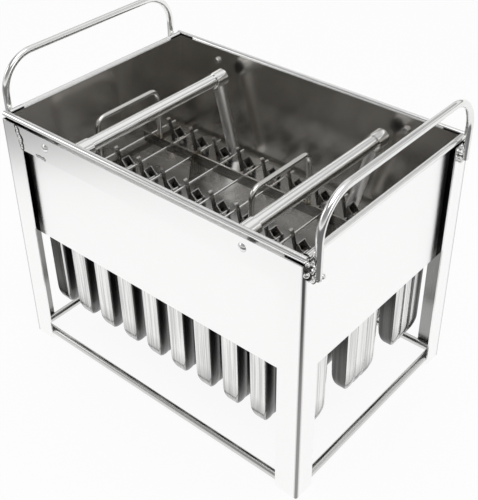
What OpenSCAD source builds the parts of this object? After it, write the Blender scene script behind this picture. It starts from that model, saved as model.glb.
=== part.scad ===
// Ice pop mold: a sheet tank of thirty cups on four legs, with a lift-out stick holder.
// +X runs along the tank, +Z is up, the origin is on the ground below the middle of the tank.

/* [Tank] */
// Length of the tank outside its walls
tank_l = 394; // [384:1:420]
// Width of the tank outside its walls
tank_w = 266; // [264:1:290]
// Height of the rolled edge's centre above the ground
rim_z = 306; // [296:1:330]
// Thickness of the wall sheet
wall_t = 1; // [0.6:0.1:1.5]
// Outer radius of the rolled edge
roll_r = 3.4; // [3:0.1:4.5]
// Thickness of the sheet in the rolled edge
roll_t = 1; // [0.6:0.1:1.2]
// How deep the skirt hangs below the tank floor
skirt_h = 14; // [5:1:20]
// Height of the tank floor's upper face above the ground
floor_z = 173.5; // [165:0.5:178]
// Thickness of the tank floor
floor_t = 1; // [0.8:0.1:2]

/* [Cups] */
// Distance from the tank's ends to the middle of the nearest cups
column_edge = 24.6; // [23:0.1:30]
// Distance from the tank's long sides to the middle of the outer rows
row_edge = 41.7; // [38:0.1:46]
// Width of a cup along Y
cup_w = 55.7; // [40:0.1:60]
// Thickness of a cup along X
cup_t = 24.3; // [20:0.1:26]
// Depth of a cup below the tank floor
cup_h = 125; // [90:1:140]
// Thickness of the cup wall
cup_wall = 0.8; // [0.6:0.1:1.2]
// Slope of the narrow sides of a cup, in degrees
cup_draft = 1; // [0:0.25:1.5]
// Depth of the grooves between the lobes
lobe_h = 1.8; // [1:0.1:2.5]
// Size of the bevel on the cup's upright edges
cup_bevel = 3; // [2:0.5:4]
// Radius of the lower corners of the wide sides
toe_r = 17; // [10:1:22]
// Radius of the lower edge of the wide sides
heel_r = 7; // [3:0.5:8]
// Width of the flange that is welded under the tank floor
cup_flange = 2.5; // [1.5:0.5:4]

/* [Legs and bands] */
// Width of a leg's flange on the long side
leg_w = 28; // [20:1:35]
// Width of a leg's flange on the short side
leg_side_w = 26; // [20:1:35]
// Thickness of the leg and band sheet
leg_t = 1.5; // [1:0.1:2]
// Gap between the tank's walls and the legs and bands
leg_gap = 6; // [5:0.5:8]
// Inner bend radius of a leg
leg_bend = 1; // [0.5:0.1:2]
// Rounding of the lower ends of a leg
leg_end_r = 3; // [1:0.5:5]
// Height of the band
band_h = 28; // [22:1:40]
// Rounding between band and leg
band_r = 8; // [4:1:12]
// Gap between the rolled edge and the band
band_gap = 1.6; // [0.5:0.1:4]
// Distance of the rivets from the tank's ends
rivet_in = 62; // [50:1:80]
// Height of the rivets above the band's lower edge
rivet_up = 17; // [10:1:20]
// Radius of a rivet's shank
rivet_r = 2; // [1.5:0.1:3]
// Radius of a rivet's head
rivet_head_r = 4.5; // [3.5:0.5:6]
// Radius of a rivet's collar in the gap between band and wall
rivet_collar_r = 4; // [3.5:0.5:6]

/* [Foot rods] */
// Diameter of the rods between the feet
foot_rod_d = 9; // [6:0.5:12]
// Gap between the rods and the ground
foot_rod_up = 4; // [2:0.5:20]

/* [Outer handles] */
// Diameter of the handle rod
bail_d = 8; // [6:0.5:10]
// Height of the handle's centre line above the ground
bail_top = 362; // [350:1:380]
// Distance of the handle's uprights from the tank's long sides
bail_in = 6.5; // [4:0.5:12]
// Bend radius at the handle's centre line
bail_r = 39; // [20:1:45]
// Height of the handle's feet above the ground
bail_foot_z = 285; // [276:1:288]

/* [Holder plate] */
// Distance of the holder plate from the outside of the tank's ends
plate_gap_x = 6.5; // [3:0.5:10]
// Distance of the holder plate from the outside of the tank's long sides
plate_gap_y = 9; // [4:0.5:14]
// Height of the plate's upper face above the tank floor
plate_up = 5.5; // [4:0.5:8]
// Thickness of the holder plate
plate_t = 1.2; // [1:0.1:2]
// Width of a stick slot along X
slot_t = 3.8; // [3:0.1:3.9]
// Length of a stick slot along Y
slot_w = 12.4; // [11:0.1:12.8]
// Side of the square drain holes
drain_d = 5.5; // [3:0.5:8]
// Distance of the drain holes from the middle of the outer rows
drain_in = 20; // [16:1:24]

/* [Stick clips] */
// Width of a clip's hood along Y
hood_w = 13; // [11:0.5:14]
// Thickness of the clip sheet
clip_t = 1; // [0.8:0.1:1.2]
// Width of a clip's tail
tail_w = 5.5; // [4:0.5:6.5]
// Distance of the tail from the middle of its clip
tail_side = 3; // [0:0.5:3]
// Height of the tail's end above the plate
tail_h = 31; // [29:1:34]
// Height of the hood above the plate
hood_h = 20; // [17:1:22]
// Height of the hinge pin above the plate
pin_up = 9; // [8:0.5:10]
// Distance of the hinge pin from the middle of the cup
pin_x = 7.5; // [7:0.5:9]
// Diameter of the hinge pin
pin_d = 2.4; // [2:0.1:3]
// Clearance between the hinge pin and the cheeks
pin_fit = 0.08; // [0.03:0.01:0.1]
// Thickness of an ear
ear_t = 1; // [0.8:0.1:1.5]
// Gap between hood and ear
ear_gap = 0.4; // [0.3:0.1:0.8]

/* [Clamp grid] */
// Diameter of the clamp rods
rod_d = 3; // [2:0.1:3.5]
// Height of the clamp rods above the plate
rod_up = 24; // [23:0.5:25]
// Gap between a rod and the clip tails at rest
rod_gap = 0.3; // [0.2:0.05:0.5]
// Reach of the clamp rods past the middle of the outer rows
rod_over = 8.2; // [7:0.1:9]
// Height of the long bars
bar_h = 14; // [10:1:16]
// Thickness of the long bars
bar_t = 2; // [1.5:0.1:3]
// Reach of the long bars past the first column of cups
bar_over_left = 13.5; // [12:0.5:16]
// Reach of the long bars past the last column of cups
bar_over_right = 7; // [3:0.5:10]
// Distance of the long bars from the line halfway between two rows
bar_shift = 2.8; // [0:0.1:6]
// Diameter of the wire handles
wire_d = 6.2; // [4:0.1:7]
// Height of the wire handles' centre line above the plate
wire_up = 97; // [80:1:105]
// Bend radius of the wire handles at the centre line
wire_r = 12; // [8:1:20]
// Distance of the left wire handle from the first column of cups
wire_left_in = 14.5; // [12:0.5:20]
// Distance of the right wire handle from the seventh column of cups
wire_right_in = 11.5; // [8:0.5:18]

/* [Bar guides] */
// Distance of the guides from the third column of clips, towards the ends
guide_side = 2.5; // [1:0.5:3]
// Thickness of a guide
guide_t = 1.5; // [1:0.1:2]
// Width of a guide at its foot
guide_foot_w = 28; // [20:1:34]
// Width of a guide at its top
guide_top_w = 14; // [10:1:18]
// How far a guide stands above its bar
guide_over = 2; // [-4:0.5:4]
// Gap between a guide and its bar
guide_gap = 0.3; // [0.2:0.1:0.6]

/* [Tube grips] */
// Diameter of a grip tube
grip_d = 15.6; // [12:0.1:18]
// Wall of the grip tubes, legs and collars
tube_t = 1.2; // [0.8:0.1:1.6]
// Distance of the grips from the third column of cups, towards the ends
grip_side = 18.4; // [16:0.1:24]
// Height of the collars' centre line above the plate
grip_up = 101.5; // [90:0.5:110]
// Outer diameter of a collar
collar_d = 20.6; // [20:0.1:24]
// Length of a collar
collar_l = 17.5; // [14:0.5:22]
// Distance of the grip legs from the middle of the outer rows
grip_leg_over = 16.2; // [15.5:0.1:18]
// Diameter of a grip leg
grip_leg_d = 14; // [10:0.5:14]
// Distance of the grip legs' feet from the third column of cups, towards the middle
grip_foot_side = 8.7; // [6:0.1:12]

/* [Hidden] */
$fn = 64;

// Clearances shared by all seats
seat_gap = 0.05;
hole_fit = 0.1;

// Tank
wall_x = tank_l / 2;
wall_y = tank_w / 2;
roll_lap = 0.4;
roll_x = wall_x + roll_r - roll_lap;
roll_y = wall_y + roll_r - roll_lap;
skirt_z = floor_z - skirt_h;
rim_wire_r = roll_r - roll_t - hole_fit;

// Cups
columns = 10;
rows = 3;
pitch_x = 2 * (wall_x - column_edge) / (columns - 1);
pitch_y = wall_y - row_edge;
mouth_z = floor_z - floor_t;
cup_depth = cup_h - floor_t;

// Legs, bands and handles
leg_x = wall_x + leg_gap + leg_t;
leg_y = wall_y + leg_gap + leg_t;
leg_top = rim_z - roll_r - band_gap;
band_z = leg_top - band_h;
rivet_x = wall_x - rivet_in;
rivet_z = band_z + rivet_up;
foot_rod_z = foot_rod_up + foot_rod_d / 2;
foot_rod_y = leg_y - leg_t - foot_rod_d / 2;
foot_rod_x = leg_x - leg_t - foot_rod_d / 2;
bail_x = leg_x + bail_d / 2;
bail_half = wall_y - bail_in;

// Stick holder
plate_l = tank_l - 2 * plate_gap_x;
plate_w = tank_w - 2 * plate_gap_y;
plate_z = floor_z + plate_up;
drain_y = pitch_y - drain_in;
tail_rest_x = -9;
heel_x = -2.2;
heel_up = 3.6;
peak_x = 1.5;
cheek_r = 2.9;
ear_y = hood_w / 2 + ear_gap;
ear_w = 6;
tail_slope = (tail_rest_x - heel_x) / (tail_h - heel_up);
tail_rod_x = heel_x + tail_slope * (rod_up - heel_up);
tail_cos = cos(atan(tail_slope));
rod_x = tail_rod_x - (clip_t / 2 + rod_gap + rod_d / 2) / tail_cos;
rod_z = plate_z + rod_up;
rod_half = pitch_y + rod_over;
bar_y = pitch_y / 2 + bar_shift;
bar_z = rod_z - bar_h / 2;
grip_z = plate_z + grip_up;
collar_in_r = collar_d / 2 - tube_t;
grip_lift = collar_in_r - grip_d / 2 - seat_gap;

function column_x(i) = (i - (columns - 1) / 2) * pitch_x;
function row_y(j) = (j - (rows - 1) / 2) * pitch_y;
guide_x = column_x(columns - 3) + guide_side;
bar_left = bar_over_left - column_x(0);
bar_right = column_x(columns - 1) + bar_over_right;
wire_left_x = column_x(0) + wire_left_in;
wire_right_x = column_x(6) + wire_right_in;
grip_x = column_x(columns - 3) + grip_side;
grip_foot_x = column_x(columns - 3) - grip_foot_side;
grip_leg_y = row_y(rows - 1) + grip_leg_over;

function lobe_r(chord, rise) = (chord * chord / 4 + rise * rise) / (2 * rise);

// Straight round bars along X and along Y, centred
module x_bar(length, r) { rotate([0, 90, 0]) cylinder(h = length, r = r, center = true); }
module y_bar(length, r) { rotate([90, 0, 0]) cylinder(h = length, r = r, center = true); }

// One bend of a hoop: a quarter ring in the YZ plane about its centre
module bend_ring(bend, r) {
  rotate([90, 0, 90])
    rotate_extrude(angle = 90) translate([bend, 0]) circle(r);
}

// A rod bent into an upright hoop in the YZ plane, its feet at z = foot, its upper centre line at z = top
module rod_hoop(half, foot, top, bend, r) {
  straight = top - bend - foot;
  translate([0, 0, top]) y_bar(2 * (half - bend), r);
  for (s = [0, 1])
    mirror([0, s, 0]) {
      translate([0, half, foot]) cylinder(h = straight, r = r);
      translate([0, half - bend, top - bend]) bend_ring(bend, r);
    }
}

// Tank walls, drawn for the front and the right and turned or mirrored for the others

module long_wall() {
  difference() {
    union() {
      translate([-wall_x, -wall_y, skirt_z]) cube([tank_l, wall_t, rim_z - skirt_z]);
      translate([0, -roll_y, rim_z]) x_bar(2 * (roll_x + roll_r), roll_r);
    }
    translate([0, -roll_y, rim_z]) x_bar(2 * (roll_x + roll_r) + 2, roll_r - roll_t);
    for (s = [-1, 1]) translate([s * rivet_x, -wall_y, rivet_z]) y_bar(4 * wall_t, rivet_r + hole_fit);
  }
}

module short_wall() {
  inner = wall_y - wall_t;
  difference() {
    union() {
      translate([wall_x - wall_t, -inner, skirt_z]) cube([wall_t, 2 * inner, rim_z - skirt_z]);
      translate([roll_x, 0, rim_z]) y_bar(2 * (inner - seat_gap), roll_r);
    }
    translate([roll_x, 0, rim_z]) y_bar(2 * inner + 2, roll_r - roll_t);
  }
}

module tank_front_wall() { color("gainsboro") long_wall(); }
module tank_back_wall() { color("gainsboro") mirror([0, 1, 0]) long_wall(); }
module tank_right_wall() { color("gainsboro") short_wall(); }
module tank_left_wall() { color("gainsboro") mirror([1, 0, 0]) short_wall(); }

module rim_wire_front() { color("silver") translate([0, -roll_y, rim_z]) x_bar(2 * roll_x + roll_r, rim_wire_r); }
module rim_wire_back() { color("silver") mirror([0, 1, 0]) rim_wire_front(); }
module rim_wire_right() { color("silver") translate([roll_x, 0, rim_z]) y_bar(2 * (wall_y - wall_t - 1), rim_wire_r); }
module rim_wire_left() { color("silver") mirror([1, 0, 0]) rim_wire_right(); }

// Cups

// Half of a cup's width or thickness, seen from the side: slanted by a, with round lower corners
module end_profile(half, h, a, r) {
  cz = r - h;
  cx = half - (h - r) * tan(a) - r / cos(a);
  polygon([
    [-half, 0], [-cx - r * cos(a), cz - r * sin(a)], [-cx, -h],
    [cx, -h], [cx + r * cos(a), cz - r * sin(a)], [half, 0]
  ]);
  for (s = [-1, 1]) translate([s * cx, cz]) circle(r);
}

// Plan of a cup: three lobes side by side, with bevelled corners
module lobed_plan(w, t) {
  chord = w / 3;
  r = lobe_r(chord, lobe_h);
  lap = 0.2;
  intersection() {
    for (i = [-1, 0, 1])
      translate([0, i * chord])
        intersection() {
          translate([t / 2 - r, 0]) circle(r);
          translate([r - t / 2, 0]) circle(r);
          square([2 * t, chord + lap], center = true);
        }
    polygon([
      [cup_bevel - t / 2, -w / 2], [t / 2 - cup_bevel, -w / 2], [t / 2, cup_bevel - w / 2],
      [t / 2, w / 2 - cup_bevel], [t / 2 - cup_bevel, w / 2], [cup_bevel - t / 2, w / 2],
      [-t / 2, w / 2 - cup_bevel], [-t / 2, cup_bevel - w / 2]
    ]);
  }
}

// A cup's outer or inner shape, its mouth at z = 0
module cup_form(w, t, h, toe, heel) {
  intersection() {
    translate([0, 0, -h]) linear_extrude(h) lobed_plan(w, t);
    rotate([90, 0, 90]) linear_extrude(2 * t, center = true) end_profile(w / 2, h, cup_draft, toe);
    rotate([90, 0, 0]) linear_extrude(2 * w, center = true) end_profile(t / 2, h, 0, heel);
  }
}

module cup() {
  in_w = cup_w - 2 * cup_wall;
  in_t = cup_t - 2 * cup_wall;
  difference() {
    union() {
      cup_form(cup_w, cup_t, cup_depth, toe_r, heel_r);
      translate([0, 0, -cup_wall / 2])
        cube([cup_t + 2 * cup_flange, cup_w + 2 * cup_flange, cup_wall], center = true);
    }
    cup_form(in_w, in_t, cup_depth - cup_wall, toe_r - cup_wall, heel_r - cup_wall);
  }
}

module cup_row(j) {
  color("silver")
    for (i = [0 : columns - 1])
      translate([column_x(i), row_y(j), mouth_z]) cup();
}

module cup_row_front() { cup_row(0); }
module cup_row_middle() { cup_row(1); }
module cup_row_back() { cup_row(2); }

module tank_floor() {
  color("lightgray")
    difference() {
      translate([wall_t - wall_x, wall_t - wall_y, mouth_z])
        cube([tank_l - 2 * wall_t, tank_w - 2 * wall_t, floor_t]);
      for (i = [0 : columns - 1], j = [0 : rows - 1])
        translate([column_x(i), row_y(j), mouth_z - 1])
          linear_extrude(floor_t + 2) lobed_plan(cup_w - 2 * cup_wall, cup_t - 2 * cup_wall);
    }
}

// Legs and bands

// Section of the front right leg, its outer corner at the origin
module leg_plan() {
  r_out = leg_bend + leg_t;
  difference() {
    union() {
      translate([-leg_w, 0]) square([leg_w - r_out, leg_t]);
      translate([-leg_t, r_out]) square([leg_t, leg_side_w - r_out]);
      intersection() {
        translate([-r_out, r_out]) circle(r_out);
        translate([-r_out, 0]) square(r_out);
      }
    }
    translate([-r_out, r_out]) circle(leg_bend);
  }
}

// Half-width strip with one lower corner rounded, as a cutter for a flange's lower end
module end_round(r) {
  difference() {
    translate([-1, -1]) square(r + 1);
    translate([r, r]) circle(r);
  }
}

module leg() {
  color("gainsboro")
    translate([leg_x, -leg_y, 0])
      difference() {
        linear_extrude(leg_top) leg_plan();
        translate([-leg_w, leg_t + 1, 0]) rotate([90, 0, 0])
          linear_extrude(leg_t + 2) end_round(leg_end_r);
        translate([-leg_t - 1, leg_side_w, 0]) rotate([90, 0, 90])
          linear_extrude(leg_t + 2) mirror([1, 0]) end_round(leg_end_r);
      }
}

module leg_front_right() { leg(); }
module leg_front_left() { mirror([1, 0, 0]) leg(); }
module leg_back_right() { mirror([0, 1, 0]) leg(); }
module leg_back_left() { mirror([1, 0, 0]) mirror([0, 1, 0]) leg(); }

// The band seen from the front: its right end runs down into the leg with a round corner
module band_face() {
  half = leg_x - leg_w;
  difference() {
    translate([-half, band_z - 0.8 * band_r]) square([2 * half, band_h + 0.8 * band_r]);
    translate([-half - 1, band_z - band_r - 1]) square([2 * half + 1 - band_r, band_r + 1]);
    translate([half - band_r, band_z - band_r]) circle(band_r);
    for (s = [-1, 1]) translate([s * rivet_x, rivet_z]) circle(rivet_r + hole_fit);
  }
}

module band() {
  color("gainsboro") translate([0, leg_t - leg_y, 0]) rotate([90, 0, 0]) linear_extrude(leg_t) band_face();
}

module front_band() { band(); }
module back_band() { rotate(180) band(); }

// A domed head on a shank through band and wall, a collar between them and a low button inside the tank
module rivet() {
  grip = leg_t + leg_gap + wall_t;
  dome_r = rivet_head_r * 1.25;
  dome_h = dome_r - sqrt(dome_r * dome_r - rivet_head_r * rivet_head_r);
  rotate([90, 0, 0]) {
    translate([0, 0, -wall_t]) cylinder(h = grip, r = rivet_r);
    cylinder(h = leg_gap, r = rivet_collar_r);
    translate([0, 0, leg_gap + leg_t])
      intersection() {
        translate([0, 0, dome_h - dome_r]) sphere(dome_r);
        cylinder(h = dome_h, r = rivet_head_r);
      }
    translate([0, 0, -wall_t - 2.6]) cylinder(h = 2.6, r = rivet_head_r - 0.5);
    translate([0, 0, -wall_t - 3.4]) cylinder(h = 0.8, r = rivet_head_r - 1.4);
  }
}

module band_rivets() {
  color("silver")
    for (sx = [-1, 1], sy = [0, 1])
      mirror([0, sy, 0]) translate([sx * rivet_x, -wall_y, rivet_z]) rivet();
}

// Foot rods: the long pair reaches the side flanges, the short pair butts against the long one
foot_long = 2 * (leg_x - leg_t);
foot_short = 2 * (foot_rod_y - foot_rod_d / 2);

module foot_rod_front() {
  color("silver") translate([0, -foot_rod_y, foot_rod_z]) x_bar(foot_long, foot_rod_d / 2);
}
module foot_rod_back() { mirror([0, 1, 0]) foot_rod_front(); }
module foot_rod_right() {
  color("silver") translate([foot_rod_x, 0, foot_rod_z]) y_bar(foot_short, foot_rod_d / 2);
}
module foot_rod_left() { mirror([1, 0, 0]) foot_rod_right(); }

// Outer handle with the weld metal that joins its feet to the legs
module bail() {
  weld = bail_x - leg_x;
  weld_r = bail_d * 0.45;
  color("silver")
    translate([bail_x, 0, 0]) {
      rod_hoop(bail_half, bail_foot_z, bail_top, bail_r, bail_d / 2);
      for (s = [-1, 1], k = [1, 2])
        translate([-weld, s * (bail_half - 0.5 * k + 1), bail_foot_z + weld_r * (2.2 * k - 1)])
          rotate([0, 90, 0]) cylinder(h = weld, r = weld_r);
    }
}
module bail_right() { bail(); }
module bail_left() { mirror([1, 0, 0]) bail(); }

// Stick holder

// Places of the clips
module at_clips() {
  for (i = [0 : columns - 1], j = [0 : rows - 1])
    translate([column_x(i), row_y(j), plate_z]) children();
}

module ear_face() {
  top_r = ear_w / 2;
  difference() {
    union() {
      translate([pin_x - top_r, 0]) square([ear_w, pin_up]);
      translate([pin_x, pin_up]) circle(top_r);
    }
    translate([pin_x, pin_up]) circle(pin_d / 2);
  }
}

module holder_plate() {
  color("lightgray")
    difference() {
      translate([-plate_l / 2, -plate_w / 2, floor_z]) cube([plate_l, plate_w, plate_up]);
      translate([plate_t - plate_l / 2, plate_t - plate_w / 2, floor_z - 1])
        cube([plate_l - 2 * plate_t, plate_w - 2 * plate_t, plate_up - plate_t + 1]);
      at_clips() translate([heel_x + clip_t, -slot_w / 2, -2 * plate_t]) cube([slot_t, slot_w, 3 * plate_t]);
      for (i = [0 : columns - 1], s = [-1, 1])
        translate([column_x(i), s * drain_y, plate_z]) cube([drain_d, drain_d, 4 * plate_t], center = true);
    }
}

// Two upright ears on the plate for each clip's hinge pin
module clip_ears() {
  color("lightgray")
    at_clips()
      for (s = [0, 1])
        mirror([0, s, 0]) translate([0, ear_y + ear_t, 0]) rotate([90, 0, 0])
          linear_extrude(ear_t) ear_face();
}

module clip_pins() {
  color("silver") at_clips() translate([pin_x, 0, pin_up]) y_bar(2 * (ear_y + ear_t) + 1, pin_d / 2);
}

// A strip of sheet seen from its edge, between two points of its middle line
module strip(a, b, t) {
  d = b - a;
  translate(a) rotate(atan2(d[1], d[0])) translate([-t / 2, -t / 2]) square([norm(d) + t, t]);
}

heel = [heel_x, heel_up];
peak = [peak_x, hood_h];
pin = [pin_x, pin_up];
tail_end = [tail_rest_x, tail_h];

module cheek_face() {
  difference() {
    union() {
      polygon([heel, peak, pin + cheek_r * [0.6, 0.7], pin - cheek_r * [0.1, 0.9]]);
      translate(pin) circle(cheek_r);
    }
    translate(pin) circle(pin_d / 2 + pin_fit);
  }
}

module clip() {
  rotate([90, 0, 0]) {
    linear_extrude(hood_w, center = true) strip(heel, peak, clip_t);
    translate([0, 0, tail_side])
      linear_extrude(tail_w, center = true) {
        strip(heel, tail_end, clip_t);
        strip(tail_end, tail_end + [-2, 0.8], clip_t);
      }
    for (s = [-1, 1])
      translate([0, 0, s * (hood_w - clip_t) / 2]) linear_extrude(clip_t, center = true) cheek_face();
  }
}

module stick_clips(i) {
  color("dimgray")
    for (j = [0 : rows - 1]) translate([column_x(i), row_y(j), plate_z]) clip();
}

// Bar guides: stands across the bars, with a notch open at the top
module bar_guide() {
  guide_h = rod_up + bar_h / 2 + guide_over;
  notch = bar_t + 2 * guide_gap;
  notch_z = rod_up - bar_h / 2 - guide_gap;
  color("darkgray")
    translate([-guide_t / 2, bar_y, plate_z]) rotate([90, 0, 90])
      linear_extrude(guide_t)
        difference() {
          polygon([
            [-guide_foot_w / 2, 0], [guide_foot_w / 2, 0], [guide_top_w / 2, guide_h], [-guide_top_w / 2, guide_h]
          ]);
          translate([-notch / 2, notch_z]) square([notch, guide_h]);
        }
}
module bar_guide_back_right() { translate([guide_x, 0, 0]) bar_guide(); }
module bar_guide_back_left() { mirror([1, 0, 0]) bar_guide_back_right(); }
module bar_guide_front_right() { mirror([0, 1, 0]) bar_guide_back_right(); }
module bar_guide_front_left() { mirror([0, 1, 0]) bar_guide_back_left(); }

// Tube grips
grip_end = grip_leg_y + collar_l / 2;
grip_lean = atan((grip_x - grip_foot_x) / grip_up);

module grip_leg() {
  reach = grip_up / cos(grip_lean);
  color("silver")
    difference() {
      translate([grip_foot_x, grip_leg_y, plate_z]) rotate([0, grip_lean, 0])
        difference() {
          translate([0, 0, -grip_leg_d]) cylinder(h = reach + grip_leg_d, r = grip_leg_d / 2);
          translate([0, 0, -grip_leg_d - 1]) cylinder(h = reach + grip_leg_d + 2, r = grip_leg_d / 2 - tube_t);
        }
      translate([grip_foot_x, grip_leg_y, plate_z - grip_leg_d])
        cube([3 * grip_leg_d, 3 * grip_leg_d, 2 * grip_leg_d], center = true);
      translate([grip_x, grip_leg_y, grip_z]) y_bar(2 * collar_l, collar_d / 2);
    }
}
module grip_leg_right_back() { grip_leg(); }
module grip_leg_right_front() { mirror([0, 1, 0]) grip_leg(); }
module grip_leg_left_back() { mirror([1, 0, 0]) grip_leg(); }
module grip_leg_left_front() { mirror([1, 0, 0]) mirror([0, 1, 0]) grip_leg(); }

module grip_collar() {
  color("silver")
    translate([grip_x, grip_leg_y, grip_z])
      difference() {
        y_bar(collar_l, collar_d / 2);
        y_bar(collar_l + 2, collar_in_r);
      }
}
module grip_collar_right_back() { grip_collar(); }
module grip_collar_right_front() { mirror([0, 1, 0]) grip_collar(); }
module grip_collar_left_back() { mirror([1, 0, 0]) grip_collar(); }
module grip_collar_left_front() { mirror([1, 0, 0]) mirror([0, 1, 0]) grip_collar(); }

module grip() {
  color("silver")
    translate([grip_x, 0, grip_z + grip_lift])
      difference() {
        y_bar(2 * grip_end, grip_d / 2);
        y_bar(2 * grip_end + 2, grip_d / 2 - tube_t);
      }
}
module grip_right() { grip(); }
module grip_left() { mirror([1, 0, 0]) grip(); }

// Clamp grid

module clamp_rods() {
  color("white")
    for (i = [0 : columns - 1]) translate([column_x(i) + rod_x, 0, rod_z]) y_bar(2 * rod_half, rod_d / 2);
}

module clamp_bar() {
  color("darkgray")
    difference() {
      translate([-bar_left, bar_y - bar_t / 2, bar_z]) cube([bar_left + bar_right, bar_t, bar_h]);
      for (i = [0 : columns - 1])
        translate([column_x(i) + rod_x, bar_y, rod_z]) y_bar(3 * bar_t, rod_d / 2 + seat_gap);
    }
}
module clamp_bar_back() { clamp_bar(); }
module clamp_bar_front() { mirror([0, 1, 0]) clamp_bar(); }

module squeeze_wire(x) {
  color("silver") translate([x, 0, 0]) rod_hoop(bar_y, bar_z + bar_h, plate_z + wire_up, wire_r, wire_d / 2);
}
module squeeze_wire_left() { squeeze_wire(wire_left_x); }
module squeeze_wire_right() { squeeze_wire(wire_right_x); }

tank_front_wall();
tank_back_wall();
tank_left_wall();
tank_right_wall();
rim_wire_front();
rim_wire_back();
rim_wire_left();
rim_wire_right();
tank_floor();
cup_row_front();
cup_row_middle();
cup_row_back();
leg_front_left();
leg_front_right();
leg_back_left();
leg_back_right();
front_band();
back_band();
band_rivets();
foot_rod_front();
foot_rod_back();
foot_rod_left();
foot_rod_right();
bail_left();
bail_right();
holder_plate();
clip_ears();
clip_pins();
bar_guide_front_left();
bar_guide_front_right();
bar_guide_back_left();
bar_guide_back_right();
grip_leg_left_front();
grip_leg_left_back();
grip_leg_right_front();
grip_leg_right_back();
grip_collar_left_front();
grip_collar_left_back();
grip_collar_right_front();
grip_collar_right_back();
grip_left();
grip_right();
clamp_rods();
clamp_bar_front();
clamp_bar_back();
squeeze_wire_left();
squeeze_wire_right();
stick_clips(0);  // stick_clips_1
stick_clips(1);  // stick_clips_2
stick_clips(2);  // stick_clips_3
stick_clips(3);  // stick_clips_4
stick_clips(4);  // stick_clips_5
stick_clips(5);  // stick_clips_6
stick_clips(6);  // stick_clips_7
stick_clips(7);  // stick_clips_8
stick_clips(8);  // stick_clips_9
stick_clips(9);  // stick_clips_10
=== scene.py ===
"""Looks of the ice pop mold: steel finishes, welds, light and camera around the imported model."""
import math

import bmesh
import bpy
from mathutils import Matrix, Vector, noise


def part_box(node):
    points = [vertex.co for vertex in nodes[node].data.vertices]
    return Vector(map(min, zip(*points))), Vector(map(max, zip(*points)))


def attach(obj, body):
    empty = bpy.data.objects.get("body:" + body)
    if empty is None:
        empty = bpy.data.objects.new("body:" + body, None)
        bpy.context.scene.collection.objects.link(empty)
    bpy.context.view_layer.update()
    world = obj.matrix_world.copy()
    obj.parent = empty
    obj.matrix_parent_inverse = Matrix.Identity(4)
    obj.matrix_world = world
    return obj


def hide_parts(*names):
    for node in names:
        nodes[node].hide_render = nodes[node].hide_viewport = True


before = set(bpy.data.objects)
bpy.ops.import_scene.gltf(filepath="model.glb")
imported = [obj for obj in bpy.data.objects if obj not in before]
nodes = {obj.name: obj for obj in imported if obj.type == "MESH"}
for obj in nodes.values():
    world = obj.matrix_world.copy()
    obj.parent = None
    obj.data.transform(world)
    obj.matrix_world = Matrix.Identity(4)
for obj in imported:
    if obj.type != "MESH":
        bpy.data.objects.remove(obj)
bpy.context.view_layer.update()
MM = 0.001

# Camera, fitted to the corners of the object in the photo
IMAGE_HEIGHT_PX = 500
CAMERA_AZIMUTH = 40.86
CAMERA_ELEVATION = 34.87
CAMERA_ROLL = -0.72
CAMERA_FOCAL_PX = 932.54
CAMERA_AIM_MM = (5.94, 155.65)  # across and up, of the point that the axis passes through
CAMERA_DISTANCE_MM = 1154.19
PRINCIPAL_ROW_PX = 215.0
SENSOR_WIDTH_MM = 36.0
CAMERA_NEAR, CAMERA_FAR = 0.05, 40


def camera_axes():
    """Right, up and backward of the camera, with azimuth 0 looking along +Y."""
    a, e, roll = (math.radians(v) for v in (CAMERA_AZIMUTH, CAMERA_ELEVATION, CAMERA_ROLL))
    back = Vector((math.sin(a) * math.cos(e), -math.cos(a) * math.cos(e), math.sin(e)))
    right = Vector((0, 0, 1)).cross(back).normalized()
    up = back.cross(right)
    right_rolled = math.cos(roll) * right + math.sin(roll) * up
    up_rolled = -math.sin(roll) * right + math.cos(roll) * up
    return right_rolled, up_rolled, back


def add_camera():
    right, up, back = camera_axes()
    across, upward = CAMERA_AIM_MM
    place = (back * CAMERA_DISTANCE_MM + right * across + up * upward) * MM
    turn = Matrix((right, up, back)).transposed().to_4x4()
    data = bpy.data.cameras.new("camera")
    data.sensor_width = SENSOR_WIDTH_MM
    data.lens = CAMERA_FOCAL_PX / IMAGE_HEIGHT_PX * data.sensor_width
    data.shift_y = -(IMAGE_HEIGHT_PX / 2 - PRINCIPAL_ROW_PX) / IMAGE_HEIGHT_PX
    data.clip_start, data.clip_end = CAMERA_NEAR, CAMERA_FAR
    camera = bpy.data.objects.new("camera", data)
    camera.matrix_world = Matrix.Translation(place) @ turn
    bpy.context.scene.collection.objects.link(camera)
    bpy.context.scene.camera = camera


add_camera()


# Material building blocks
NOISE_ROUGHNESS = 0.55
NOISE_LOW, NOISE_HIGH = 0.3, 0.7  # where most of a noise texture's values lie
MIX_FACTOR, MIX_A, MIX_B, MIX_RESULT = 0, 6, 7, 2  # the sockets of a Mix node that mixes colours


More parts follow.
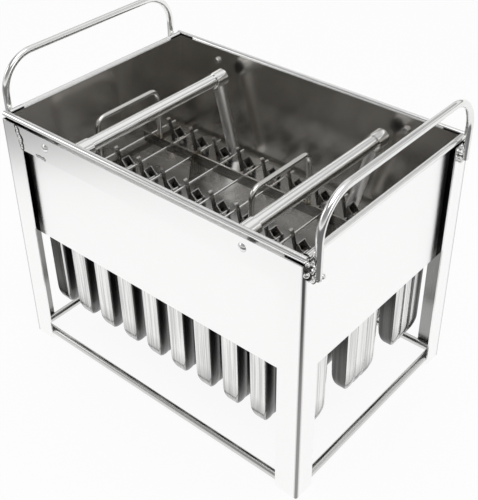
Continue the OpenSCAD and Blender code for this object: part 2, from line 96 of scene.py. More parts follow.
class Shader:
    """The node tree of a material or a world, with short calls for the nodes used here."""

    def __init__(self, owner, output="ShaderNodeOutputMaterial", place="Object"):
        self.owner = owner
        owner.use_nodes = True
        self.tree = owner.node_tree
        self.tree.nodes.clear()
        self.out = self.add(output)
        self.place = self.add("ShaderNodeTexCoord").outputs[place]

    def add(self, kind, inputs=None, **values):
        """A node with these settings; each of the inputs is a plain value or a socket to link."""
        node = self.tree.nodes.new(kind)
        for key, value in values.items():
            setattr(node, key, value)
        for key, value in (inputs or {}).items():
            if isinstance(value, bpy.types.NodeSocket):
                self.tree.links.new(value, node.inputs[key])
            else:
                node.inputs[key].default_value = value
        return node

    def finished(self, surface):
        """The material or world, with this socket as its surface."""
        self.tree.links.new(surface, self.out.inputs["Surface"])
        return self.owner

    def stretched_noise(self, scale, detail=3.0):
        """Noise with its own scale along each axis, in cells per metre."""
        mapping = self.add("ShaderNodeMapping", {"Scale": scale, "Vector": self.place})
        texture = self.add("ShaderNodeTexNoise", {
            "Scale": 1.0, "Detail": detail, "Roughness": NOISE_ROUGHNESS,
            "Vector": mapping.outputs["Vector"]})
        return texture.outputs["Fac"]

    def ranged(self, value, low, high, from_low=NOISE_LOW, from_high=NOISE_HIGH):
        """The value moved from one range to another, and kept inside it."""
        node = self.add("ShaderNodeMapRange", {
            "Value": value, "From Min": from_low, "From Max": from_high,
            "To Min": low, "To Max": high})
        return node.outputs["Result"]

    def math(self, operation, a, b=0.0):
        return self.add("ShaderNodeMath", {0: a, 1: b}, operation=operation).outputs[0]

    def combined(self, operation, sockets):
        """One number from several, two at a time."""
        total = sockets[0]
        for socket in sockets[1:]:
            total = self.math(operation, total, socket)
        return total

    def ramp(self, value, stops):
        """Colour for a value, between stops that are each a position and a colour."""
        node = self.add("ShaderNodeValToRGB", {"Fac": value})
        elements = node.color_ramp.elements
        while len(elements) < len(stops):
            elements.new(0.5)
        for element, (position, colour) in zip(elements, stops):
            element.position = position
            element.color = (*colour, 1)
        return node.outputs["Color"]

    def mixed(self, factor, a, b):
        """Colour a where factor is 0 and b where it is 1; each a colour or a socket."""
        a, b = ((*value, 1) if isinstance(value, tuple) else value for value in (a, b))
        inputs = {MIX_FACTOR: factor, MIX_A: a, MIX_B: b}
        return self.add("ShaderNodeMix", inputs, data_type="RGBA").outputs[MIX_RESULT]

    def mixed_shaders(self, factor, a, b):
        return self.add("ShaderNodeMixShader", {0: factor, 1: a, 2: b}).outputs["Shader"]

    def along(self, axis):
        """The place along X, Y or Z."""
        return self.add("ShaderNodeSeparateXYZ", {0: self.place}).outputs[axis]

    def absolute(self, axis):
        """Distance in metres from the middle along X, Y or Z."""
        return self.math("ABSOLUTE", self.along(axis))

    def place_and(self, vector, operation):
        """One number from the place and this vector."""
        node = self.add("ShaderNodeVectorMath", {0: self.place, 1: vector}, operation=operation)
        return node.outputs["Value"]

    def distance_to(self, points):
        """Distance in metres to the nearest of these points."""
        return self.combined("MINIMUM", [self.place_and(point, "DISTANCE") for point in points])


# Noise scales of the steel, in cells per metre along X, Y and Z; the lines run where they are few
GRAINS = {
    "x": (12, 2600, 2600),
    "y": (2600, 12, 2600),
    "z": (2600, 2600, 12),
    "flat": (14, 14, 2600),
}
CLOUD_SCALE = (22, 22, 22)
WAVE_SCALE = (9, 9, 7)
HEAT_SCALE = (400, 400, 400)
GRAIN_HEIGHT = 0.2 * MM
WAVE_HEIGHT = 4.0 * MM
BAND_EDGES = (0.38, 0.60)  # noise values between which a broad streak fades
# Weld tint from its middle outwards; its rim is a tint of the steel's own colour
HEAT_TINTS = [(0.0, (0.17, 0.16, 0.145)), (0.35, (0.27, 0.245, 0.205)), (0.62, (0.43, 0.40, 0.345))]
HEAT_RIM_AT, HEAT_RIM = 0.85, (0.95, 0.86, 0.70)
HEAT_WOBBLE = 0.12
HEAT_FADE_AT = 0.75
# Near-black of painted shade, mixed into a material's colour where its mask says
PAINTED_SHADE = (0.035, 0.035, 0.036)


def toned(colour, factor):
    return tuple(c * factor for c in colour)


def heat_tinted(s, base, colour, places, reach):
    """The base colour with weld tint round these places, out to reach in metres."""
    wobble = s.ranged(s.stretched_noise(HEAT_SCALE), -HEAT_WOBBLE * reach, HEAT_WOBBLE * reach)
    away = s.math("ADD", s.distance_to(places), wobble)
    rim = tuple(c * t for c, t in zip(colour, HEAT_RIM))
    stops = [*HEAT_TINTS, (HEAT_RIM_AT, rim), (1.0, colour)]
    tint = s.ramp(s.ranged(away, 0.0, 1.0, 0.0, reach), stops)
    mask = s.ranged(away, 1.0, 0.0, HEAT_FADE_AT * reach, reach)
    return s.mixed(mask, base, tint)


def steel(name, colour, roughness, grain, spread=0.05, depth=0.02, cloud=0.04, streak=0.93,
          heat=None, waves=0.0, bands=None, shade_mask=None):
    """Brushed or polished steel.

    grain is the way its fine lines run. They change the roughness by spread, the height by depth
    and the colour down to the share streak; broad clouds change the roughness by cloud. heat is
    the places and the reach of weld tint, waves the strength of slow dents, bands the scale and
    the tone of broad streaks, and the last one the mask of painted shade that darkens the sheet.
    """
    s = Shader(bpy.data.materials.new(name))
    lines = s.stretched_noise(GRAINS[grain])
    clouds = s.stretched_noise(CLOUD_SCALE, detail=4.0)
    rough = s.math("ADD", s.ranged(lines, roughness - spread, roughness + spread),
                   s.ranged(clouds, -cloud, cloud))
    tone = s.math("ADD", s.ranged(lines, -0.5, 0.5), s.ranged(clouds, 0.0, 1.0))
    base = s.mixed(tone, toned(colour, streak), colour)
    if bands:
        scale, low = bands
        broad = s.ranged(s.stretched_noise(scale, detail=2.0), 0.0, 1.0, *BAND_EDGES)
        base = s.mixed(broad, toned(colour, low), base)
    if heat:
        base = heat_tinted(s, base, colour, *heat)
    # Painted shade: the colour goes towards near-black where the mask says
    if shade_mask:
        base = s.mixed(shade_mask(s), base, PAINTED_SHADE)
    bump = s.add("ShaderNodeBump", {"Strength": depth, "Distance": GRAIN_HEIGHT, "Height": lines})
    if waves:
        bump = s.add("ShaderNodeBump", {
            "Strength": waves, "Distance": WAVE_HEIGHT,
            "Height": s.stretched_noise(WAVE_SCALE, detail=1.0), "Normal": bump.outputs["Normal"]})
    bsdf = s.add("ShaderNodeBsdfPrincipled", {
        "Metallic": 1.0, "Roughness": rough, "Base Color": base, "Normal": bump.outputs["Normal"]})
    return s.finished(bsdf.outputs["BSDF"])


def coat(node_names, material):
    """This material for the whole of each node."""
    for name in node_names:
        piece = nodes[name]
        for slot in piece.material_slots:
            slot.material = material
        if not piece.material_slots:
            piece.data.materials.append(material)


def coat_faces(node_names, material, picked):
    """This material for the faces that pass the test, which is given the middle and the normal of
    a face, in metres in the model's frame."""
    for name in node_names:
        piece = nodes[name]
        place = piece.matrix_world
        turn = place.to_3x3()
        piece.data.materials.append(material)
        index = len(piece.data.materials) - 1
        for face in piece.data.polygons:
            if picked(place @ face.center, (turn @ face.normal).normalized()):
                face.material_index = index


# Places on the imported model
def corners(name):
    return tuple(Vector(v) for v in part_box(name))


def side_names(stem, sides):
    return [stem + side for side in sides]


FOUR_SIDES = ("front", "back", "left", "right")
FOUR_CORNERS = ("front_left", "front_right", "back_left", "back_right")
GRIP_SIDES = ("left_front", "left_back", "right_front", "right_back")
CUP_ROWS = ("front", "middle", "back")
CLIP_COLUMNS = 10
GUIDE_CROSSING = 8 * MM  # from a bar guide's top down to the bar that crosses it

walls = ["tank_%s_wall" % side for side in FOUR_SIDES]
legs = side_names("leg_", FOUR_CORNERS)
cups = side_names("cup_row_", CUP_ROWS)
wires = side_names("squeeze_wire_", ("left", "right"))
bars = side_names("clamp_bar_", ("front", "back"))
guides = side_names("bar_guide_", FOUR_CORNERS)
bails = side_names("bail_", ("left", "right"))
clips = ["stick_clips_%d" % (i + 1) for i in range(CLIP_COLUMNS)]

floor_high = corners("tank_floor")[1]
rim_low = corners("rim_wire_front")[0]
clip_high = corners(clips[0])[1]
rod_high = corners("foot_rod_right")[1]
leg_low, leg_high = corners("leg_front_right")
rivet_low, rivet_high = corners("band_rivets")
skirt_z = corners("tank_front_wall")[0].z

wire_feet = []
for wire in wires:
    low, high = corners(wire)
    radius = (high.x - low.x) / 2
    for y in (low.y + radius, high.y - radius):
        wire_feet.append(Vector(((low.x + high.x) / 2, y, low.z)))
guide_crossings = []
for guide in guides:
    low, high = corners(guide)
    middle = ((low.x + high.x) / 2, (low.y + high.y) / 2, high.z - GUIDE_CROSSING)
    guide_crossings.append(Vector(middle))

# Finishes, with the painted shade and light that some of them carry
BRIGHT = (0.98, 0.98, 0.975)
SATIN = (0.93, 0.93, 0.92)
POLISHED = (0.88, 0.88, 0.87)
SHADED = (0.65, 0.628, 0.592)
WARM = (0.60, 0.595, 0.58)
PLATE = (0.57, 0.57, 0.565)
LEG_SHADE = (0.36, 0.36, 0.355)
RIVET_HEAD_R = 4.5 * MM
EDGE_IN, EDGE = 0.2 * MM, 0.8 * MM  # how soft the edge of a mask is
# Painted dark reflection towards a leg's bend: its tone, how far from the bend it is full, and how
# far on each flange it starts
BEND_TONE, BEND_END = 0.66, 1.2 * MM
BEND_START_X, BEND_START_Y = 4.0 * MM, 5.0 * MM
# Painted dark reflection low on the cups: its tone, the height where it is full and the height where
# it is gone
END_TONE, END_FROM, END_TO = 0.62, 46 * MM, 82 * MM
# Painted shadow ring round the rivets: its tone, how far inside the head it starts, and where it
# fades and ends
RING_TONE, RING_IN, RING_FADE, RING_END = 0.8, 0.4 * MM, 0.2 * MM, 1.0 * MM

rivets = [Vector((sx * (rivet_high.x - RIVET_HEAD_R), sy * rivet_high.y,
                  (rivet_low.z + rivet_high.z) / 2))
          for sx in (-1, 1) for sy in (-1, 1)]


def under_legs(s):
    """Where the walls lie behind the legs' two flanges, for painted shade in the gap between them.
    """
    across = s.ranged(s.absolute("X"), 0.0, 1.0, leg_low.x - EDGE_IN, leg_low.x + EDGE)
    along = s.ranged(s.absolute("Y"), 0.0, 1.0, -leg_high.y - EDGE_IN, -leg_high.y + EDGE)
    return s.math("MINIMUM", across, along)


def near_bend(s):
    """Painted dark reflection that grows towards a leg's bend."""
    across = s.ranged(s.absolute("X"), 0.0, BEND_TONE, leg_high.x - BEND_START_X,
                      leg_high.x - BEND_END)
    along = s.ranged(s.absolute("Y"), 0.0, BEND_TONE, -leg_low.y - BEND_START_Y,
                     -leg_low.y - BEND_END)
    return s.math("MINIMUM", across, along)


def lower_end(s):
    """The lower end of a cup, darkened by painted dark reflection."""
    return s.ranged(s.absolute("Z"), END_TONE, 0.0, END_FROM, END_TO)


def beside_tank(s):
    """The height at which a leg's inner side faces the tank, where its painted shade goes
    near-black.
    """
    return s.ranged(s.absolute("Z"), 0.0, 1.0, skirt_z - EDGE, skirt_z + 4 * EDGE)


def round_rivets(s):
    """A thin ring of painted shadow round each rivet's head."""
    away = s.distance_to(rivets)
    inner = s.ranged(away, 0.0, RING_TONE, RIVET_HEAD_R - RING_IN, RIVET_HEAD_R)
    outer = s.ranged(away, 1.0, 0.0, RIVET_HEAD_R + RING_FADE, RIVET_HEAD_R + RING_END)
    return s.math("MINIMUM", inner, outer)


# The walls' outside, with painted shade where it lies behind the legs' flanges
outer_sheet = steel("steel_tank_sheet", BRIGHT, 0.22, "x", spread=0.006, depth=0.0006,
                    cloud=0.003, streak=0.992, shade_mask=under_legs)
# The walls' inside: the same steel as the outside, with painted shade in its darker colour
inner_sheet = steel("steel_tank_inside", SHADED, 0.23, "z", spread=0.02, depth=0.006,
                    cloud=0.01, streak=0.95, waves=0.05)
rim_steel = steel("steel_rolled_rim", SATIN, 0.17, "x", spread=0.03, depth=0.005, cloud=0.01)
# The legs' outside, with painted dark reflection towards their bends
leg_sheet = steel("steel_leg_sheet", BRIGHT, 0.23, "z", spread=0.01, depth=0.001, cloud=0.004,
                  streak=0.99, shade_mask=near_bend)
# The bands, with painted shadow round the rivets
band_sheet = steel("steel_band_sheet", BRIGHT, 0.24, "x", spread=0.006, depth=0.0006,
                   cloud=0.003, streak=0.992, shade_mask=round_rivets)
# Painted shade on the legs' inner faces, near-black where they face the tank
leg_inside = steel("steel_leg_inside", LEG_SHADE, 0.30, "z", depth=0.006, cloud=0.01,
                   shade_mask=beside_tank)
leg_back = steel("steel_leg_back", LEG_SHADE, 0.30, "z", depth=0.006, cloud=0.01)
# Painted dark reflection on the legs' bends
bend_steel = steel("steel_leg_bend", (0.30, 0.298, 0.293), 0.28, "z", cloud=0.01, streak=0.95)
# The cups, with painted dark reflection at their lower ends
cup_sheet = steel("steel_cup_sheet", SATIN, 0.20, "z", spread=0.04, depth=0.015, cloud=0.02,
                  streak=0.95, bands=((430, 430, 4), 0.66), shade_mask=lower_end)
# Painted shade on the cup sides that a next cup faces, and on the back rows' front sides
cup_shaded = steel("steel_cup_between", (0.15, 0.15, 0.147), 0.30, "z", spread=0.04,
                   depth=0.015, cloud=0.02, streak=0.9, bands=((260, 260, 4), 0.6))
floor_sheet = steel("steel_floor_sheet", WARM, 0.30, "flat", cloud=0.02)
holder_sheet = steel("steel_holder_sheet", PLATE, 0.27, "flat", depth=0.006, cloud=0.02,
                     streak=0.95, waves=0.04)
clip_sheet = steel("steel_clip_sheet", (0.44, 0.435, 0.425), 0.20, "z", cloud=0.02)
# Painted shade on the clips' cheeks
clip_dark = steel("steel_clip_cheek", (0.17, 0.16, 0.15), 0.24, "z", cloud=0.02)
# Painted light on the side of the clips' tails that faces the camera
clip_light = steel("steel_clip_tail", (0.74, 0.73, 0.71), 0.20, "z", cloud=0.02)
polished = steel("steel_polished_rod", POLISHED, 0.13, "flat", spread=0.015, depth=0.001,
                 cloud=0.006)
foot_steel = steel("steel_foot_rod", (0.66, 0.66, 0.65), 0.22, "flat", spread=0.002, depth=0.0,
                   cloud=0.01, streak=0.99)
grip_leg_steel = steel("steel_grip_leg", (0.97, 0.965, 0.955), 0.31, "z", spread=0.03,
                       depth=0.004, cloud=0.01)
tube = steel("steel_polished_tube", (0.96, 0.96, 0.95), 0.16, "y", spread=0.04, depth=0.01,
             cloud=0.015)
bar_steel = steel("steel_clamp_bar", (0.66, 0.65, 0.635), 0.22, "x", cloud=0.02,
                  heat=([*wire_feet, *guide_crossings], 9 * MM))
# Painted shade on the bars' upright long sides
bar_side = steel("steel_clamp_bar_side", (0.30, 0.29, 0.275), 0.26, "x", cloud=0.02)
wire_steel = steel("steel_squeeze_wire", (0.70, 0.69, 0.67), 0.18, "z", cloud=0.02,
                   heat=(wire_feet, 8 * MM))
guide_steel = steel("steel_bar_guide", (0.28, 0.27, 0.255), 0.26, "z", cloud=0.02,
                    heat=(guide_crossings, 11 * MM))
rivet_steel = steel("steel_rivet", SATIN, 0.20, "flat", cloud=0.01)
weld_steel = steel("steel_weld", (0.84, 0.84, 0.83), 0.12, "flat", spread=0.03, cloud=0.03)
# Near-black lumps of painted shade for the gaps among the weld lumps
weld_dark = steel("steel_weld_dark", (0.07, 0.068, 0.065), 0.22, "flat", cloud=0.03)

# Tests of a face's middle and normal
FACING = 0.9    # least part of a normal along the axis that its face faces
LEVEL = 0.999   # the same, for a face that lies level
SLANTED = 0.15  # least part of a normal along each of two axes on a bend
TAIL_FACING = 0.5
FLANGE_DEPTH = 2 * MM
WALL_SLACK = 0.1 * MM
ROLL_BELOW_WIRE, ROLL_OUTSIDE = 1.1 * MM, 1.2 * MM
CHEEK_BELOW_TOP, TAIL_BELOW_TOP = 10 * MM, 17 * MM


def on_inner_side(at, _):
    """The inner side of the tank's walls."""
    return abs(at.x) < floor_high.x + WALL_SLACK and abs(at.y) < floor_high.y + WALL_SLACK


def on_rolled_edge(at, n):
    """The walls' rolled upper edge."""
    outside = max(abs(at.x) - floor_high.x, abs(at.y) - floor_high.y)
    return at.z > rim_low.z - ROLL_BELOW_WIRE and abs(n.z) < LEVEL and outside > ROLL_OUTSIDE


def on_bend(_, n):
    """The bend of a leg."""
    return min(abs(n.x), abs(n.y)) > SLANTED


def faces_back(at, n):
    """The inner side of a leg's front or back flange."""
    return n.y * at.y < 0 and abs(n.y) > FACING and abs(at.y) > -leg_low.y - FLANGE_DEPTH


def faces_tank(at, n):
    """The inner side of a leg's side flange."""
    return n.x * at.x < 0 and abs(n.x) > FACING and abs(at.x) > leg_high.x - FLANGE_DEPTH


def on_cheek(at, n):
    """A clip's cheeks, which get painted shade."""
    return abs(n.y) > FACING and at.z < clip_high.z - CHEEK_BELOW_TOP


def on_tail(at, n):
    """The side of a clip's tail that the camera sees, which gets painted light."""
    return at.z > clip_high.z - TAIL_BELOW_TOP and abs(n.y) < FACING and n.x > TAIL_FACING


def on_bar_side(_, n):
    """The upright long sides of a bar, which get painted shade."""
    return abs(n.y) > FACING


coat(walls, outer_sheet)
coat_faces(walls, inner_sheet, on_inner_side)
coat_faces(walls, rim_steel, on_rolled_edge)
coat(legs, leg_sheet)
coat(["front_band", "back_band"], band_sheet)
coat_faces(legs, bend_steel, on_bend)
coat_faces(legs, leg_inside, faces_tank)
coat_faces(legs, leg_back, faces_back)
coat(cups, cup_sheet)
coat(["tank_floor"], floor_sheet)
coat(["holder_plate", "clip_ears"], holder_sheet)
coat(guides, guide_steel)
coat(clips, clip_sheet)
coat_faces(clips, clip_dark, on_cheek)
coat_faces(clips, clip_light, on_tail)
coat(side_names("foot_rod_", FOUR_SIDES), foot_steel)
coat(bails + ["clamp_rods"], polished)
coat(side_names("rim_wire_", FOUR_SIDES), rivet_steel)
coat(side_names("grip_leg_", GRIP_SIDES), grip_leg_steel)
coat(side_names("grip_collar_", GRIP_SIDES) + ["grip_left", "grip_right"], tube)
coat(bars, bar_steel)
coat_faces(bars, bar_side, on_bar_side)
coat(wires, wire_steel)
coat(["band_rivets", "clip_pins"], rivet_steel)


# Cups with longer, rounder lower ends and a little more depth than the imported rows
CUPS_IN_ROW = 10
CUP_WIDTH, CUP_THICKNESS, CUP_WALL, CUP_FLANGE = 55.7 * MM, 24.3 * MM, 0.8 * MM, 2.5 * MM
LOBE_RISE, CUP_BEVEL, CUP_DRAFT = 1.8 * MM, 3.0 * MM, math.tan(math.radians(1.0))
CUP_DEEPER = 7.5 * MM
# How far the sides come in at the lower end, across the thickness and the width, and from what
# height above it they do
END_THICKNESS_IN, END_WIDTH_IN = 11.4 * MM, 17.0 * MM
END_THICKNESS_HEIGHT, END_WIDTH_HEIGHT = 29.0 * MM, 25.0 * MM
END_STEPS = 10
# Points along an outer lobe, the middle lobe and a narrow side
OUTER_LOBE_POINTS, MIDDLE_LOBE_POINTS, SIDE_POINTS = 7, 8, 5
SHARP_ANGLE = math.radians(24)
CUP_FACING = 0.8
OPEN_AT_LEFT, OPEN_AT_RIGHT = 6 * MM, 8 * MM  # the row's ends, where no next cup shades a side


def spread_out(first, last, count):
    return [first + (last - first) * i / (count - 1) for i in range(count)]


def cup_outline():
    """Plan of a cup at its mouth: three lobes on each wide side, bevelled corners. Each point also
    has its place on the edge of the flange."""
    half_x, half_y = CUP_THICKNESS / 2, CUP_WIDTH / 2
    chord = CUP_WIDTH / 3
    radius = (chord * chord / 4 + LOBE_RISE * LOBE_RISE) / (2 * LOBE_RISE)
    end_y = half_y - CUP_BEVEL
    wide_side = (spread_out(-end_y, -chord / 2, OUTER_LOBE_POINTS)
                 + spread_out(-chord / 2, chord / 2, MIDDLE_LOBE_POINTS)[1:]
                 + spread_out(chord / 2, end_y, OUTER_LOBE_POINTS)[1:])
    edge_x, edge_y = half_x + CUP_FLANGE, half_y + CUP_FLANGE
    half = []
    for y in wide_side:
        off = y - chord * max(-1, min(1, round(y / chord)))
        if abs(abs(y) - chord / 2) < 1e-9:
            off = chord / 2
        x = half_x - radius + math.sqrt(radius * radius - off * off)
        half.append(((x, y), (edge_x, y * edge_y / half_y)))
    bevel_x, bevel_y = half_x - CUP_BEVEL * 0.5, half_y - CUP_BEVEL * 0.5
    half.append(((bevel_x, bevel_y), (edge_x, edge_y)))
    for x in spread_out(half_x - CUP_BEVEL, CUP_BEVEL - half_x, SIDE_POINTS):
        half.append(((x, half_y), (x * edge_x / half_x, edge_y)))
    half.append(((-bevel_x, bevel_y), (-edge_x, edge_y)))
    return half + [((-p[0], -p[1]), (-q[0], -q[1])) for p, q in half]


def rounded_in(down):
    """Share by which a quarter circle has come in, this share of the way down it."""
    return 1 - math.sqrt(max(0.0, 1 - down * down))


def cup_rings(outline, offset, depth):
    """Rings of a cup's outer or inner side, from its mouth to its lower end. offset is the wall's
    thickness for the inner side."""
    half_x, half_y = CUP_THICKNESS / 2, CUP_WIDTH / 2
    most_in_x, most_in_y, height_x, height_y = (
        v - offset for v in (END_THICKNESS_IN, END_WIDTH_IN, END_THICKNESS_HEIGHT, END_WIDTH_HEIGHT))
    depths = [0.0, (depth - height_x) / 2]
    depths += [depth - height_x + height_x * math.sin(math.radians(90) * i / END_STEPS)
               for i in range(END_STEPS + 1)]
    rings = []
    for h in depths:
        down_x, down_y = (max(0.0, (h - depth + v) / v) for v in (height_x, height_y))
        in_x = most_in_x * 0.5 * (rounded_in(down_x) + down_x * down_x)
        in_y = most_in_y * rounded_in(down_y)
        scale_x = (half_x - offset - in_x) / half_x
        scale_y = (half_y - offset - in_y - h * CUP_DRAFT) / half_y
        rings.append([(p[0] * scale_x, p[1] * scale_y, -h) for p, _ in outline])
    return rings


def add_cup(bm, outline, outer, inner, at):
    """One cup as a closed form: outer side, flange and inner side."""
    flange_low = [(q[0], q[1], -CUP_WALL) for _, q in outline]
    flange_high = [(q[0], q[1], 0.0) for _, q in outline]
    under = [(p[0], p[1], -CUP_WALL) for p, _ in outline]
    rings = outer[:0:-1] + [under, flange_low, flange_high] + inner
    made = [[bm.verts.new(Vector(point) + at) for point in ring] for ring in rings]
    count = len(outline)
    for low, high in zip(made, made[1:]):
        for i in range(count):
            j = (i + 1) % count
            bm.faces.new((low[i], low[j], high[j], high[i]))
    bm.faces.new(reversed(made[0]))
    bm.faces.new(made[-1])


def add_cup_row(row):
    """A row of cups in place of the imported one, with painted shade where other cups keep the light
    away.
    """
    low, high = corners("cup_row_" + row)
    first = low.x + CUP_FLANGE + CUP_THICKNESS / 2
    depth = high.z - low.z + CUP_DEEPER
    outline = cup_outline()
    outer = cup_rings(outline, 0.0, depth)
    inner = cup_rings(outline, CUP_WALL, depth - CUP_WALL)
    bm = bmesh.new()
    for x in spread_out(first, -first, CUPS_IN_ROW):
        add_cup(bm, outline, outer, inner, Vector((x, (low.y + high.y) / 2, high.z)))
    bmesh.ops.recalc_face_normals(bm, faces=bm.faces)
    for edge in bm.edges:
        edge.smooth = edge.calc_face_angle(0.0) < SHARP_ANGLE
    name = "cups_" + row
    mesh = bpy.data.meshes.new(name)
    for face in bm.faces:
        face.smooth = True
        x = face.calc_center_median().x
        # Sides facing a next cup, and the back rows' front sides, get painted shade
        between = (abs(face.normal.x) > CUP_FACING
                   and low.x + OPEN_AT_LEFT < x < high.x - OPEN_AT_RIGHT)
        behind = row != "front" and face.normal.y < -CUP_FACING
        face.material_index = 1 if between or behind else 0
    bm.to_mesh(mesh)
    bm.free()
    piece = bpy.data.objects.new(name, mesh)
    for material in (cup_sheet, cup_shaded):
        mesh.materials.append(material)
    bpy.context.scene.collection.objects.link(piece)
    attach(piece, "mold")
    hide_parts("cup_row_" + row)


for row in CUP_ROWS:
    add_cup_row(row)


# Weld metal. A lump is its middle, its three radii, both in metres, and a seed for its shape
NOISE_SEED = 1795603473  # for noise_vector, which would otherwise follow the clock
noise.seed_set(NOISE_SEED)
LUMP_SWELL, LUMP_SCALE = 0.16, 1.7
STRAY, STRAY_SCALE = 0.9, 0.9
BEAD_SWELL, BEAD_SCALE, BEAD_FLAT = 0.35, 1.3, 0.35
# Each lump at a handle's or a leg's foot: how far along and up it lies, and its radius, in mm
BAIL_LUMPS = ((6.2, 9.5, 3.0), (7.4, 3.2, 2.7), (5.0, -1.0, 2.9), (1.2, 1.2, 3.1),
              (3.4, 12.5, 2.0))
BAIL_OUT, BAIL_IN, BAIL_LUMP_DEPTH = 2 * MM, 4 * MM, 2.6 * MM
SIDE_ROD_LUMPS = ((5.0, 0.5, 3.2), (9.5, 3.4, 2.8), (13.0, 0.2, 2.4), (6.0, -7.5, 2.6))
LONG_ROD_LUMPS = ((6.0, 0.8, 2.8), (10.5, 0.2, 2.2))
FOOT_IN, FOOT_LUMP_DEPTH = 3.6 * MM, 2.2 * MM
# Chains of lumps where the band meets the front left leg: start and end in mm, and their number
BAND_Y = -140.5
SEAM = ((-179.0, BAND_Y, 298.5), (-175.2, BAND_Y, 277.0), 12)
TACK = ((-150.0, BAND_Y, 275.6), (-138.0, BAND_Y, 275.2), 8)
# Single lumps round the top of the front right leg: middle and radius in mm
KNOTS = (((204.8, -137.0, 303.0), 2.5), ((205.4, -139.0, 293.5), 3.0),
         ((206.6, -133.0, 286.5), 3.0), ((208.5, -126.0, 282.5), 3.3),
         ((208.0, -118.5, 280.5), 2.9))
# Spots of painted shade among those lumps: middle and radius in mm
DARK_KNOTS = (((204.8, -138.6, 298.5), 3.2), ((205.2, -136.0, 289.5), 3.6),
              ((206.2, -129.5, 282.0), 3.0), ((207.0, -122.0, 278.5), 2.4),
              ((205.0, -133.0, 295.0), 3.0))


def lump_mesh(name, lumps):
    """One mesh of uneven round lumps."""
    bm = bmesh.new()
    for middle, radii, seed in lumps:
        shift = Vector((seed * 3.1, seed * 1.7, seed))
        made = bmesh.ops.create_icosphere(bm, subdivisions=3, radius=1.0)["verts"]
        for vert in made:
            swell = 1 + LUMP_SWELL * noise.noise(vert.co * LUMP_SCALE + shift)
            vert.co = Vector(vert.co[i] * radii[i] for i in range(3)) * swell + Vector(middle)
    mesh = bpy.data.meshes.new(name)
    bm.to_mesh(mesh)
    bm.free()
    for face in mesh.polygons:
        face.use_smooth = True
    return mesh


def add_weld(name, body, lumps, material=weld_steel):
    piece = bpy.data.objects.new(name, lump_mesh(name, lumps))
    piece.data.materials.append(material)
    bpy.context.scene.collection.objects.link(piece)
    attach(piece, body)


def add_weld_pair(name, lumps, material):
    """A weld at the front, and the same one turned half a turn at the back."""
    add_weld(name + "_front", "mold", lumps, material)
    add_weld(name + "_back", "mold", turned(lumps), material)


def turned(lumps):
    """The same lumps turned half a turn about the vertical."""
    return [(Vector((-at[0], -at[1], at[2])), radii, seed) for at, radii, seed in lumps]


def flattened(lumps, k):
    return [(at, (r[0], r[1] * k, r[2]), seed) for at, r, seed in lumps]


def bail_weld(side, end):
    """Five lumps between a handle's foot and the leg's side flange."""
    low, high = corners("bail_" + side)
    sx = 1 if side == "right" else -1
    sy = 1 if end == "back" else -1
    x = (low.x if sx > 0 else high.x) + sx * BAIL_OUT
    y = (high.y if sy > 0 else low.y) - sy * BAIL_IN
    return [((x, y - along * MM, low.z + up * MM), (BAIL_LUMP_DEPTH, r * MM, r * MM),
             i + 5 * (sx + 2 * sy))
            for i, (along, up, r) in enumerate(BAIL_LUMPS)]


def wandering(start, end, count, radius, seed):
    """A chain of lumps from start to end, in mm, that strays a little."""
    start, end = Vector(start), Vector(end)
    chain = []
    for i in range(count):
        at = start.lerp(end, i / (count - 1))
        stray = noise.noise_vector(at * STRAY_SCALE + Vector((seed, 0, 0))) * radius * STRAY
        stray.y = 0
        swell = 1 + BEAD_SWELL * noise.noise(at * BEAD_SCALE + Vector((0, seed, 0)))
        size = radius * swell
        chain.append(((at + stray) * MM, (size * MM, BEAD_FLAT * size * MM, size * MM), seed + i))
    return chain


def foot_weld(sx, sy):
    """Lumps on the two rods that meet in a leg's foot."""
    seed = 7 * sx + 3 * sy
    lumps = []
    for i, (along, up, r) in enumerate(SIDE_ROD_LUMPS):
        at = (sx * (leg_high.x - FOOT_IN), sy * (-leg_low.y - along * MM), rod_high.z + up * MM)
        lumps.append((at, (FOOT_LUMP_DEPTH, r * MM, r * MM), 40 + i + seed))
    for i, (along, up, r) in enumerate(LONG_ROD_LUMPS):
        at = (sx * (leg_high.x - along * MM), sy * (-leg_low.y - FOOT_IN), rod_high.z + up * MM)
        lumps.append((at, (r * MM, FOOT_LUMP_DEPTH, r * MM), 60 + i + seed))
    return lumps


for side in ("left", "right"):
    for end in ("front", "back"):
        add_weld("weld_bail_%s_%s" % (side, end), "mold", bail_weld(side, end))
# Each seam is bright lumps over wider, flatter lumps of painted shade
for name, seam_radius, tack_radius, flat, material in (("weld_seam", 2.2, 0.9, 1.5, weld_steel),
                                                       ("weld_edge", 3.7, 1.6, 0.35, weld_dark)):
    chains = wandering(*SEAM, seam_radius, 3) + wandering(*TACK, tack_radius, 8)
    add_weld_pair(name, flattened(chains, flat), material)
for name, spots, material in (("weld_knots", KNOTS, weld_steel),
                              ("weld_shade_spots", DARK_KNOTS, weld_dark)):
    add_weld_pair(name, [(Vector(at) * MM, (0.9 * r * MM, r * MM, r * MM), 21 + i)
                         for i, (at, r) in enumerate(spots)], material)
for sx, side in ((-1, "left"), (1, "right")):
    for sy, end in ((-1, "front"), (1, "back")):
        lumps = foot_weld(sx, sy)
        add_weld("weld_foot_%s_%s" % (side, end), "mold", lumps[::2])
        # Every other lump at a leg's foot is painted shade
        add_weld("weld_foot_dark_%s_%s" % (side, end), "mold", lumps[1::2], weld_dark)


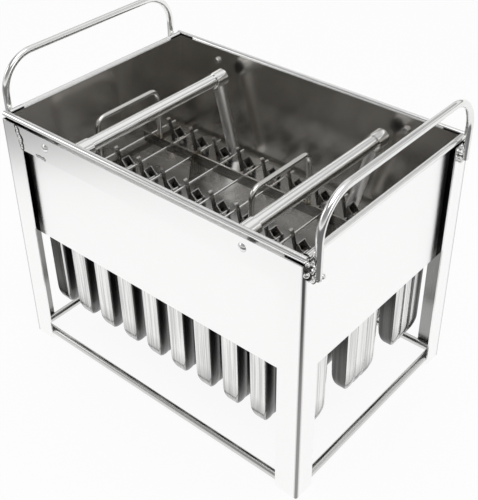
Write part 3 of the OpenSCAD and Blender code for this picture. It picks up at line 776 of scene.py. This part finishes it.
# Floor, background and light
# Grey of the world by height, on the camera's side and behind the object
FRONT_SKY = ((0.05, 1.0), (0.28, 0.44), (0.45, 0.29), (0.75, 0.29), (0.95, 0.60))
BACK_SKY = ((0.14, 1.0), (0.19, 0.22), (0.25, 0.25), (0.31, 0.85), (0.50, 0.95), (0.57, 0.42),
            (0.66, 0.50), (0.74, 0.90))
SKY_TURN = (-0.15, 0.25)  # Y of the directions between which the one becomes the other
FLOOR_SIZE = 16
FLOOR_PATCHES = (1.5, 1.5, 1.5)
FLOOR_GREYS = (0.93, 0.94)
WHITE_SHARE = 0.92  # of the floor's own white, against the white that the lamps give it
# Parts of the floor that only the metal shows dark: their direction, where along it they start
# and are full, and how dark they get
DARK_SIDES = (((0.654, -0.756, 0.0), 0.38, 0.48, 0.85), ((-0.654, -0.756, 0.0), 0.60, 0.72, 0.60))
DARK_STRENGTH = 0.04
SOFTBOX_AIM = (0, 0, 0.18)


def add_floor():
    """A pale floor that shows white to the camera, with the object's shadow on it. In the metal it
    shows white too, apart from its dark parts."""
    bpy.ops.mesh.primitive_plane_add(size=FLOOR_SIZE, location=(0, 0, 0))
    floor = bpy.context.object
    floor.name = "studio_floor"
    s = Shader(bpy.data.materials.new("studio_floor"))
    patches = s.mixed(s.stretched_noise(FLOOR_PATCHES), *((grey,) * 3 for grey in FLOOR_GREYS))
    lit = s.add("ShaderNodeBsdfPrincipled", {
        "Roughness": 0.9, "Specular IOR Level": 0.1, "Base Color": patches})
    white = s.add("ShaderNodeEmission", {"Strength": 1.0})
    dark = s.add("ShaderNodeEmission", {"Strength": DARK_STRENGTH})
    rays = s.add("ShaderNodeLightPath").outputs
    seen = s.combined("MAXIMUM", [rays["Is Camera Ray"], rays["Is Glossy Ray"],
                                  rays["Is Transmission Ray"]])
    pale = s.mixed_shaders(s.math("MULTIPLY", seen, WHITE_SHARE),
                           lit.outputs["BSDF"], white.outputs["Emission"])
    shade = s.combined("MAXIMUM", [
        s.ranged(s.place_and(direction, "DOT_PRODUCT"), 0.0, share, start, full)
        for direction, start, full, share in DARK_SIDES])
    surface = s.mixed_shaders(s.math("MULTIPLY", shade, rays["Is Glossy Ray"]),
                              pale, dark.outputs["Emission"])
    floor.data.materials.append(s.finished(surface))


def add_world():
    """White round the horizon and behind the object, grey above and on the camera's side."""
    s = Shader(bpy.data.worlds.new("studio"), "ShaderNodeOutputWorld", "Generated")
    front, back = (s.ramp(s.along("Z"), [(height, (grey,) * 3) for height, grey in stops])
                   for stops in (FRONT_SKY, BACK_SKY))
    turn = s.ranged(s.along("Y"), 0.0, 1.0, *SKY_TURN)
    background = s.add("ShaderNodeBackground", {"Color": s.mixed(turn, front, back)})
    bpy.context.scene.world = s.finished(background.outputs["Background"])


def add_softbox(name, place, size, radiance):
    """A square area light whose face has the given brightness."""
    data = bpy.data.lights.new(name, "AREA")
    data.shape = "SQUARE"
    data.size = size
    data.energy = radiance * math.pi * size * size
    lamp = bpy.data.objects.new(name, data)
    lamp.location = place
    lamp.rotation_mode = "QUATERNION"
    lamp.rotation_quaternion = (Vector(place) - Vector(SOFTBOX_AIM)).to_track_quat("Z", "Y")
    bpy.context.scene.collection.objects.link(lamp)


add_floor()
add_world()
add_softbox("softbox_top", (0.25, -0.35, 1.7), 1.3, 1.7)
add_softbox("softbox_left", (-1.5, -1.0, 1.0), 0.9, 1.3)
add_softbox("softbox_right", (1.7, -0.2, 0.9), 0.8, 1.0)

bpy.context.scene.view_settings.view_transform = "Standard"
